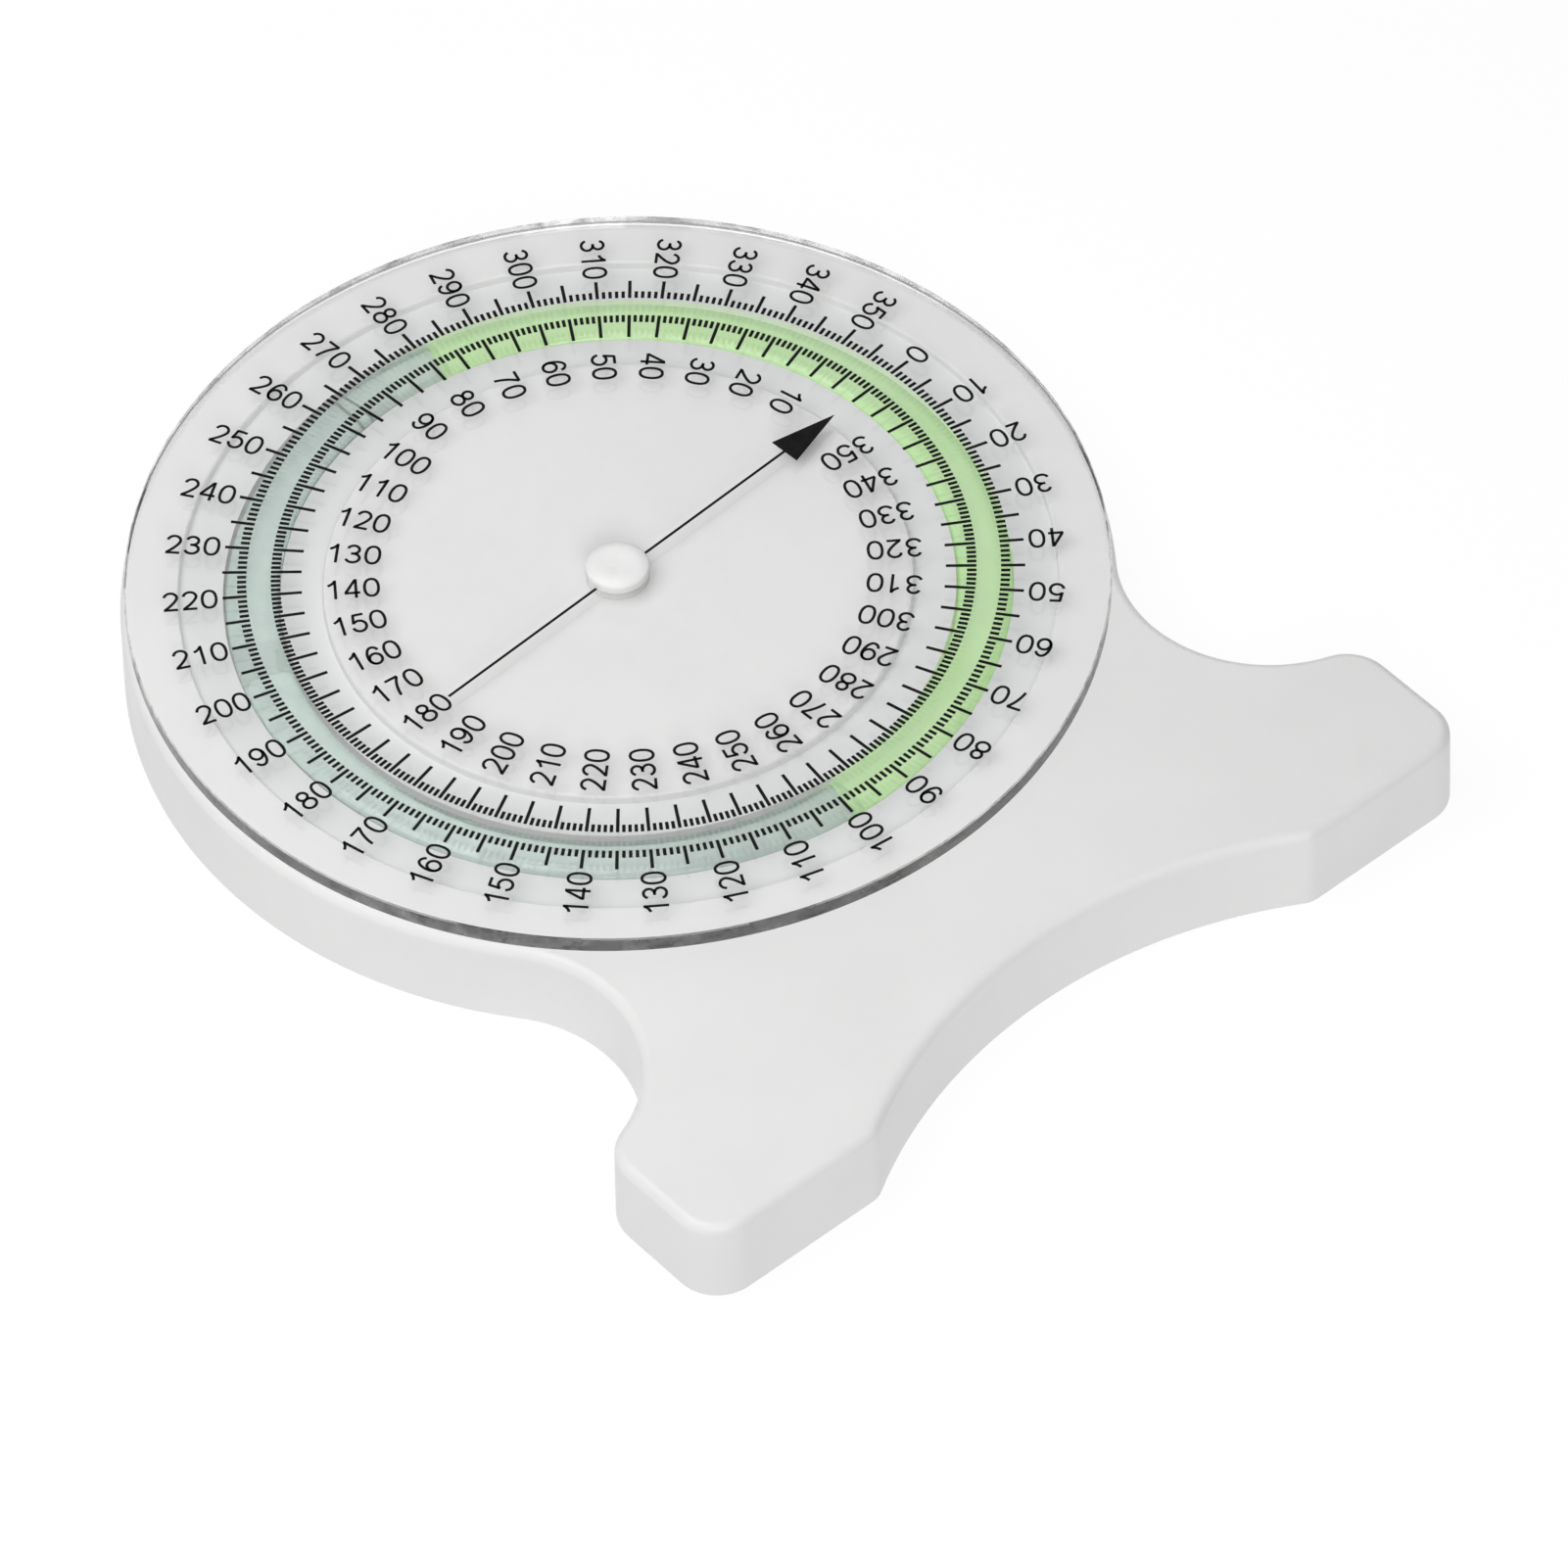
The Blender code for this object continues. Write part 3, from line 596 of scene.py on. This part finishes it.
def housing():
    """The moulded body with its hollow back, trough, posts, ribs, recess, channel and pivot bore."""
    shell = stack("housing_shell", shell_levels(), [MOULDED])
    ceiling = BODY_TOP - FRONT_WALL
    inside = ceiling + 1
    trough = [
        (GROOVE_OUTER_R + GROOVE_WALL, inside),
        (GROOVE_OUTER_R + GROOVE_WALL, CHANNEL_FLOOR_Z - GROOVE_WALL),
        (GROOVE_INNER_R - GROOVE_WALL, CHANNEL_FLOOR_Z - GROOVE_WALL),
        (GROOVE_INNER_R - GROOVE_WALL, inside),
    ]
    steps = [("DIFFERENCE", stack("hollow", [(SIDE_WALL, -1), (SIDE_WALL, ceiling)]))]
    steps.append(("UNION", lathe("trough", trough, 240, closed=True)))
    boss_r, boss_z = PIVOT_BOSS
    boss = [(0, boss_z), (boss_r, boss_z), (boss_r, inside), (0, inside)]
    steps.append(("UNION", lathe("pivot_boss", boss, 48)))
    for angle in HEAD_SCREW_ANGLES:
        steps.append(("UNION", box(f"rib_{angle}", RIB_SIZE, RIB_CENTRE, angle)))
    post_r, post_z = SCREW_BOSS
    for place in screw_places():
        post = [(0, post_z), (post_r, post_z), (post_r, inside), (0, inside)]
        steps.append(("UNION", lathe("screw_boss", post, 32, at=place)))
    steps.append(("DIFFERENCE", lathe("groove", groove_profile(), 240, closed=True)))
    counter_r, counter_z = COUNTERBORE
    bore = [
        (0, BODY_TOP + 1),
        (counter_r, BODY_TOP + 1),
        (counter_r, counter_z),
        (PIVOT_BORE_R, counter_z),
        (PIVOT_BORE_R, boss_z - 1),
        (0, boss_z - 1),
    ]
    steps.append(("DIFFERENCE", lathe("pivot_bore", bore, 48)))
    hole_r, hole_top = SCREW_HOLE
    for place in screw_places():
        hole = [(0, 1), (hole_r, 1), (hole_r, hole_top), (0, hole_top)]
        steps.append(("DIFFERENCE", lathe("screw_hole", hole, 24, at=place)))
    combine(shell, steps)
    # Index 1, the channel's walls and floor: the lighter white, painted light that lifts their shade.
    shell.data.materials.append(CHANNEL_PAINTED_LIGHT)
    # Index 2, the recess floor: the darker teal-tinted white, painted shade.
    shell.data.materials.append(RECESS_PAINTED_SHADE)
    for polygon in shell.data.polygons:
        x, y, z = polygon.center / MM
        r = hypot(x, y)
        if abs(z - RECESS_Z) < 0.01 and GROOVE_INNER_R < r < GROOVE_OUTER_R:
            polygon.material_index = 2
        elif abs(r - RING_R) < TUBE_HALF[0] + 0.5 and CHANNEL_FLOOR_Z - 0.1 < z < RECESS_Z:
            polygon.material_index = 1
    keep_flats_flat(shell)
    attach(shell, "body")
    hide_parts("base_housing")


# Dial

def dial_plate():
    """The clear disc, with its sawn edge in a material of its own."""
    edge = DISC_EDGE
    profile = [
        (STEM_HOLE_R, DISC_Z),
        (DISC_R - edge, DISC_Z),
        (DISC_R, DISC_Z + edge),
        (DISC_R, DISC_TOP - edge),
        (DISC_R - edge, DISC_TOP),
        (STEM_HOLE_R, DISC_TOP),
    ]
    plate = lathe("dial_plate", profile, DISC_SEGMENTS, [ACRYLIC, ACRYLIC_EDGE], closed=True)
    for polygon in plate.data.polygons:
        if hypot(polygon.center.x, polygon.center.y) > (DISC_R - edge) * MM:
            polygon.material_index = 1
    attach(plate, "dial")
    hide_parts("dial_disc")


def hub_button():
    """A low button with a dished middle, and the stem it turns on."""
    top = CAP_HIGH.z
    under = DISC_TOP + CAP_LIFT
    bore_r, bore_z = STEM_BORE
    profile = [
        (0.0, top - 0.12),
        (0.6, top - 0.11),
        (1.2, top - 0.06),
        (1.7, top - 0.015),
        (2.0, top),
        (2.4, top - 0.03),
        (2.75, top - 0.11),
        (3.02, top - 0.23),
        (3.25, top - 0.34),
        (3.40, top - 0.45),
        (3.48, top - 0.58),
        (3.50, top - 0.74),
        (3.50, under + 0.08),
        (3.45, under),
        (STEM_R, under),
        (STEM_R, CAP_LOW.z),
        (bore_r, CAP_LOW.z),
        (bore_r, bore_z),
        (0.0, bore_z),
    ]
    button = lathe("hub_button", profile, 96, [BUTTON], at=CAP_SHIFT)
    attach(button, "dial")
    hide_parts("hub_cap")


# Print

def ellipse(cx, cy, rx, ry, start, end, power=2.0):
    """Points along an ellipse; a power above 2 squares it off."""
    count = max(4, round(abs(end - start) / 12))
    points = []
    for i in range(count + 1):
        a = radians(start + (end - start) * i / count)
        c, s = cos(a), sin(a)
        size = (abs(c) ** power + abs(s) ** power) ** (-1 / power)
        points.append((cx + rx * c * size, cy + ry * s * size))
    return points


def curve(a, b, c):
    """Points along a curve from a to c that is drawn towards b."""
    points = []
    for i in range(CURVE_STEPS + 1):
        t = i / CURVE_STEPS
        points.append(tuple(a[k] * (1 - t) ** 2 + 2 * b[k] * t * (1 - t) + c[k] * t * t for k in (0, 1)))
    return points


def digit_strokes():
    """Centre lines of the figures, each in a box 0.66 wide and 1 high."""
    back = ellipse(0.35, 0.715, 0.235, 0.235, 8, 90)
    back += ellipse(0.36, 0.40, 0.285, 0.55, 90, 180)[1:]
    back += ellipse(0.345, 0.40, 0.27, 0.35, 180, 270)[1:]
    six = [back, ellipse(0.35, 0.325, 0.25, 0.275, -90, 270)]
    return {
        "0": [ellipse(0.33, 0.5, 0.275, 0.45, 0, 360, 2.3)],
        "1": [[(0.42, 0.0), (0.42, 1.0)], curve((0.42, 0.96), (0.34, 0.80), (0.13, 0.72))],
        "2": [
            ellipse(0.33, 0.70, 0.255, 0.25, 172, -22),
            curve((0.562, 0.62), (0.50, 0.42), (0.10, 0.07)),
            [(0.045, 0.05), (0.61, 0.05)],
        ],
        "3": [
            ellipse(0.31, 0.735, 0.23, 0.215, 165, -88),
            ellipse(0.31, 0.285, 0.27, 0.235, 95, -165),
            [(0.22, 0.52), (0.32, 0.52)],
        ],
        "4": [[(0.475, 0.0), (0.475, 1.0)], [(0.45, 0.96), (0.055, 0.28)], [(0.02, 0.27), (0.635, 0.27)]],
        "5": [
            [(0.155, 0.945), (0.575, 0.945)],
            [(0.175, 0.97), (0.105, 0.485)],
            ellipse(0.325, 0.335, 0.27, 0.285, 142, -168),
        ],
        "6": six,
        "7": [[(0.05, 0.935), (0.62, 0.935)], curve((0.60, 0.93), (0.30, 0.55), (0.23, 0.0))],
        "8": [
            ellipse(0.33, 0.745, 0.21, 0.205, 0, 360),
            ellipse(0.33, 0.29, 0.27, 0.245, 0, 360),
        ],
        "9": [[(0.66 - x, 1 - y) for x, y in stroke] for stroke in six],
    }


def ribbon(points, width):
    """The two sides of a stroke: points moved half a width to the left and to the right."""
    closed = hypot(points[0][0] - points[-1][0], points[0][1] - points[-1][1]) < 0.001
    if closed:
        points = points[:-1]
    left, right = [], []
    last = len(points) - 1
    for i, (x, y) in enumerate(points):
        before = points[i - 1] if i or closed else points[0]
        after = points[(i + 1) % len(points)] if i < last or closed else points[last]
        dx, dy = after[0] - before[0], after[1] - before[1]
        length = hypot(dx, dy)
        nx, ny = -dy / length * width / 2, dx / length * width / 2
        left.append((x + nx, y + ny))
        right.append((x - nx, y - ny))
    return left, right, closed


def ink_strip(bm, left, right, closed):
    """A thin solid of ink between two sides, given in plan."""
    loops = []
    for side, z in ((left, INK_LOW), (right, INK_LOW), (right, INK_HIGH), (left, INK_HIGH)):
        loops.append([point(bm, x + PRINT_SHIFT[0], y + PRINT_SHIFT[1], z) for x, y in side])
    for low, high in zip(loops, loops[1:] + loops[:1]):
        bridge(bm, low, high, closed)
    if not closed:
        bm.faces.new([loop[0] for loop in loops])
        bm.faces.new([loop[-1] for loop in loops])


def print_piece(name, bm):
    piece = finish_mesh(bm, name, [INK])
    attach(piece, "dial")


def ticks(name, radii):
    """A tick each degree, and a long one each five."""
    foot, short, long = radii
    bm = bmesh.new()
    for number in range(360):
        end = long if number % 5 == 0 else short
        along = on_ring(1, ZERO_ANGLE - number)
        across = (-along[1] * TICK_WIDTH / 2, along[0] * TICK_WIDTH / 2)
        sides = []
        for sign in (1, -1):
            dx, dy = sign * across[0], sign * across[1]
            sides.append([(r * along[0] + dx, r * along[1] + dy) for r in (foot, end)])
        ink_strip(bm, *sides, False)
    print_piece(name, bm)


def numbers(name, labels, figures):
    """Numbers that run inwards, with their tops clockwise; labels lists (number, angle, first radius)."""
    bm = bmesh.new()
    for number, angle, start in labels:
        inward = on_ring(-1, angle)
        up = (-inward[1], inward[0])
        for place, figure in enumerate(str(number)):
            for stroke in figures[figure]:
                local = [(x * DIGIT_H, (y - 0.5) * DIGIT_H) for x, y in stroke]
                left, right, closed = ribbon(local, STROKE)
                sides = []
                for side in (left, right):
                    moved = []
                    for x, y in side:
                        along = x + place * DIGIT_ADVANCE - start
                        moved.append((along * inward[0] + y * up[0], along * inward[1] + y * up[1]))
                    sides.append(moved)
                ink_strip(bm, *sides, closed)
    print_piece(name, bm)


def pointer():
    """The line across the dial and the arrowhead at its zero end."""
    bm = bmesh.new()
    along = on_ring(1, ZERO_ANGLE)
    across = (-along[1], along[0])

    def at(r, side):
        return (r * along[0] + side * across[0], r * along[1] + side * across[1])

    length, width = POINTER_HEAD
    base = POINTER_TIP_R - length
    half = POINTER_LINE / 2
    for start, end in ((-POINTER_TAIL_R, -POINTER_GAP_R), (POINTER_GAP_R, base)):
        ink_strip(bm, [at(start, half), at(end, half)], [at(start, -half), at(end, -half)], False)
    left = [at(base, width / 2), at(POINTER_TIP_R, POINTER_POINT)]
    right = [at(base, -width / 2), at(POINTER_TIP_R, -POINTER_POINT)]
    ink_strip(bm, left, right, False)
    print_piece("pointer_print", bm)


def printed_scales():
    ticks("outer_ticks", OUTER_TICKS)
    ticks("inner_ticks", INNER_TICKS)
    figures = digit_strokes()
    outer = []
    for label in range(0, 360, 10):
        length = (len(str(label)) - 1) * DIGIT_ADVANCE + DIGIT_WIDTH
        outer.append((label, ZERO_ANGLE - label, OUTER_TEXT_R + length))
    inner = [(label, ZERO_ANGLE + label, INNER_TEXT_R) for label in range(10, 360, 10)]
    numbers("outer_numbers", outer, figures)
    numbers("inner_numbers", inner, figures)
    pointer()


# Vial

def vial_ring():
    """The tube's wall, between its outer skin and its bore."""
    bm = bmesh.new()
    ring_skin(bm, TUBE_HALF, VIAL_STEPS, VIAL_SIDES)
    bore = ring_skin(bm, BORE_HALF, VIAL_STEPS, VIAL_SIDES)
    for face in bore:
        face.material_index = 1
    ring = finish_mesh(bm, "vial_ring", [TUBE_SKIN, TUBE_BORE], hollow=bore)
    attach(ring, "body")
    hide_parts("vial_tube")


def vial_joint():
    """The cemented joint where the tube's two ends meet, a thin collar within its wall."""
    half = degrees(SEAM_T / 2 / RING_R)
    bm = bmesh.new()
    inner = [size + SEAM_INSET for size in BORE_HALF]
    outer = [size - SEAM_INSET for size in TUBE_HALF]
    loops = []
    for section, angle in ((inner, -half), (outer, -half), (outer, half), (inner, half)):
        loops.append(tube_loop(bm, section, SEAM_ANGLE + angle, VIAL_SIDES))
    for low, high in zip(loops, loops[1:] + loops[:1]):
        bridge(bm, low, high)
    joint = finish_mesh(bm, "vial_joint", [CEMENT])
    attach(joint, "body")
    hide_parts("vial_joint_seal")


def liquid_arc():
    """The liquid, with a hollow meniscus at each end."""
    rings = []
    for i in range(MENISCUS_STEPS + 1):
        a = pi / 2 * i / MENISCUS_STEPS
        rings.append(([size * cos(a) for size in LIQUID_HALF], MENISCUS * sin(a)))
    bm = bmesh.new()
    arc_skin(bm, LIQUID_ENDS, LIQUID_STEPS, LIQUID_SIDES, rings)
    liquid = finish_mesh(bm, "liquid_arc", [LIQUID], 60)
    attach(liquid, "liquid")
    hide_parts("vial_liquid")


def dress(names, mat):
    """Gives CAD nodes that are kept as they are a material."""
    for name in names:
        obj = NODES[name]
        obj.data.materials.clear()
        obj.data.materials.append(mat)


def carried_over():
    dress(["back_cover"], COVER)
    dress([f"cover_screw_{i}" for i in range(1, 7)] + ["pivot_screw", "flat_washer"], ZINC)
    dress(["wave_washer"], SPRING)
    dress(["pivot_bush"], BRASS)
    dress(["friction_washer"], NYLON)
    dress([f"vial_pad_{i}" for i in range(1, 7)], FOAM)


# Studio

def floor():
    bm = bmesh.new()
    bmesh.ops.create_grid(bm, x_segments=1, y_segments=1, size=FLOOR_SIZE)
    mesh = bpy.data.meshes.new("floor")
    bm.to_mesh(mesh)
    bm.free()
    mat, tree, out = node_tree("pale_floor")
    paint = add(tree, "ShaderNodeBsdfDiffuse", {"Color": (0.9, 0.9, 0.9, 1.0)})
    light = add(tree, "ShaderNodeEmission", {"Color": (1, 1, 1, 1), "Strength": 1.02})
    mix = add(tree, "ShaderNodeMixShader", {"Fac": 0.9})
    tree.links.new(paint.outputs["BSDF"], mix.inputs[1])
    tree.links.new(light.outputs["Emission"], mix.inputs[2])
    tree.links.new(mix.outputs["Shader"], out.inputs["Surface"])
    obj = bpy.data.objects.new("floor", mesh)
    bpy.context.scene.collection.objects.link(obj)
    obj.location = (0, 0, -FLOOR_DROP)
    mesh.materials.append(mat)


def softbox(name, place, size, watts):
    """A round lamp that faces the origin."""
    lamp = bpy.data.lights.new(name, "AREA")
    lamp.shape = "DISK"
    lamp.size = size
    lamp.energy = watts
    obj = bpy.data.objects.new(name, lamp)
    bpy.context.scene.collection.objects.link(obj)
    obj.location = place
    obj.rotation_euler = (-Vector(place)).to_track_quat("-Z", "Y").to_euler()


def world():
    scene_world = bpy.data.worlds.new("studio")
    bpy.context.scene.world = scene_world
    scene_world.use_nodes = True
    background = scene_world.node_tree.nodes["Background"]
    background.inputs["Color"].default_value = (1, 1, 1, 1)
    background.inputs["Strength"].default_value = WORLD_STRENGTH


def camera():
    """At the photographed angle: azimuth, elevation and roll, from a place beside the dial's axis."""
    azimuth, elevation, roll = radians(CAMERA_AZIMUTH), radians(CAMERA_ELEVATION), radians(CAMERA_ROLL)
    back = Vector((sin(azimuth) * cos(elevation), -cos(azimuth) * cos(elevation), sin(elevation)))
    right = (-back).cross(Vector((0, 0, 1))).normalized()
    up = right.cross(-back)
    tilted_right = cos(roll) * right + sin(roll) * up
    tilted_up = -sin(roll) * right + cos(roll) * up
    data = bpy.data.cameras.new("camera")
    data.lens = CAMERA_LENS
    data.sensor_width = 36.0
    data.clip_start = 0.05
    data.clip_end = 20.0
    obj = bpy.data.objects.new("camera", data)
    bpy.context.scene.collection.objects.link(obj)
    matrix = Matrix((tilted_right, tilted_up, back)).transposed().to_4x4()
    x, y, z = CAMERA_PLACE
    matrix.translation = Vector((x, DIAL_Y + y, DISC_TOP + z)) * MM
    obj.matrix_world = matrix
    bpy.context.scene.camera = obj


housing()
dial_plate()
hub_button()
printed_scales()
vial_ring()
vial_joint()
liquid_arc()
carried_over()
floor()
world()
for lamp in SOFTBOXES:
    softbox(*lamp)
camera()
bpy.context.scene.view_settings.view_transform = "Standard"
